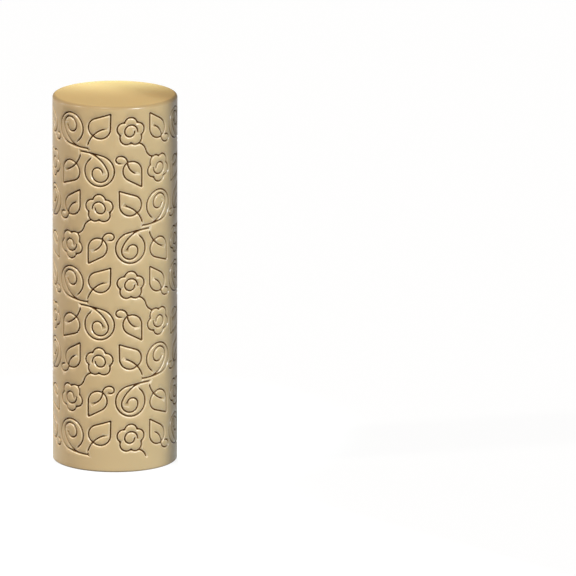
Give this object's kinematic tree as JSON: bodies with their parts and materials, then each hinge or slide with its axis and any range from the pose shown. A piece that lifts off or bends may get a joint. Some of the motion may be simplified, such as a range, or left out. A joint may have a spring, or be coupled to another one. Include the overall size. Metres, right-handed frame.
{
  "type": "clay texture roller",
  "caption": "Hand roller for clay: a short thick cylinder with an engraved vine-scroll band that presses a raised pattern as it rolls.",
  "frame": {"origin": "centre of the lower end face, the one the roller stands on", "axes": "+Z along the roller's axis, from the end it stands on to the upper end; the pattern repeats three times round, so +X has no special side"},
  "size_m": [0.05, 0.05, 0.15],
  "materials": {
    "cast_skin": "smooth cast resin, slightly translucent",
    "core_tube": "plain extruded tube",
    "core_plug": "plain moulded"
  },
  "bodies": {
    "root": {"texture_skin": "cast_skin", "core_tube": "core_tube", "core_plug_bottom": "core_plug", "core_plug_top": "core_plug"}
  },
  "joints": []
}
